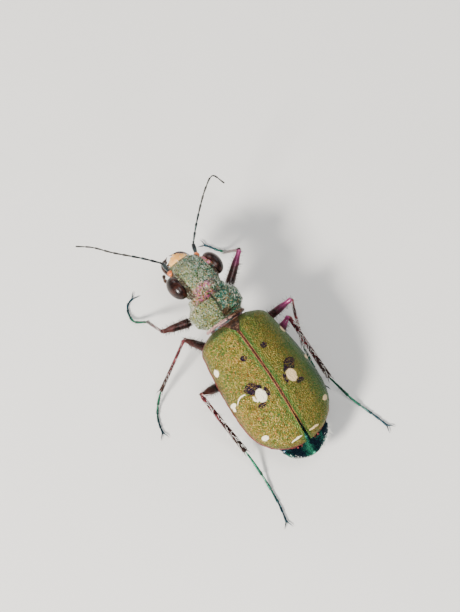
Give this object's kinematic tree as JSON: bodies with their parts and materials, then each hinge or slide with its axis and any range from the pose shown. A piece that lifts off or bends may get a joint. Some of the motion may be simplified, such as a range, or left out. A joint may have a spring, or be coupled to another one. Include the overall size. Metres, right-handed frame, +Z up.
{
  "type": "tiger beetle",
  "caption": "Green tiger beetle standing on its six legs, head raised, long feelers out, pale-spotted wing cases closed over the abdomen.",
  "frame": {"origin": "on the floor, under the middle of the whole outline", "axes": "+Z up, head towards -Y, the beetle's left side towards +X"},
  "size_m": [0.0124, 0.0208, 0.0069],
  "materials": {
    "wing_case": "finely grained, olive green with a metallic glint and cream spots",
    "copper_plate": "dark copper, metallic",
    "underside": "dark blue-green to copper, metallic",
    "fore_body": "grey-green, coarsely wrinkled, metallic",
    "pale_lip": "cream-yellow, smooth",
    "eye": "dark brown-black, finely faceted, glossy",
    "jaw": "dark brown, glossy",
    "feeler": "dark grey, first joints green to copper",
    "thigh": "dark brown-purple with a copper glint",
    "shin": "copper-red, metallic",
    "foot": "dark teal-green, metallic"
  },
  "bodies": {
    "root": {"wing_case_left": "wing_case", "wing_case_right": "wing_case", "scutellum": "copper_plate", "thorax": "underside", "abdomen": "underside", "prothorax": "fore_body", "head": "fore_body", "labrum": "pale_lip", "eye_left": "eye", "mandible_left": "jaw", "outer_palp_left": "feeler", "inner_palp_left": "feeler", "feeler_base_left": "feeler", "feeler_whip_left": "feeler", "eye_right": "eye", "mandible_right": "jaw", "outer_palp_right": "feeler", "inner_palp_right": "feeler", "feeler_base_right": "feeler", "feeler_whip_right": "feeler", "hip_fore_left": "underside", "thigh_fore_left": "thigh", "shin_fore_left": "shin", "foot_fore_left": "foot", "hip_fore_right": "underside", "thigh_fore_right": "thigh", "shin_fore_right": "shin", "foot_fore_right": "foot", "hip_middle_left": "underside", "thigh_middle_left": "thigh", "shin_middle_left": "shin", "foot_middle_left": "foot", "hip_middle_right": "underside", "thigh_middle_right": "thigh", "shin_middle_right": "shin", "foot_middle_right": "foot", "hip_hind_left": "underside", "thigh_hind_left": "thigh", "shin_hind_left": "shin", "foot_hind_left": "foot", "hip_hind_right": "underside", "thigh_hind_right": "thigh", "shin_hind_right": "shin", "foot_hind_right": "foot"}
  },
  "joints": []
}
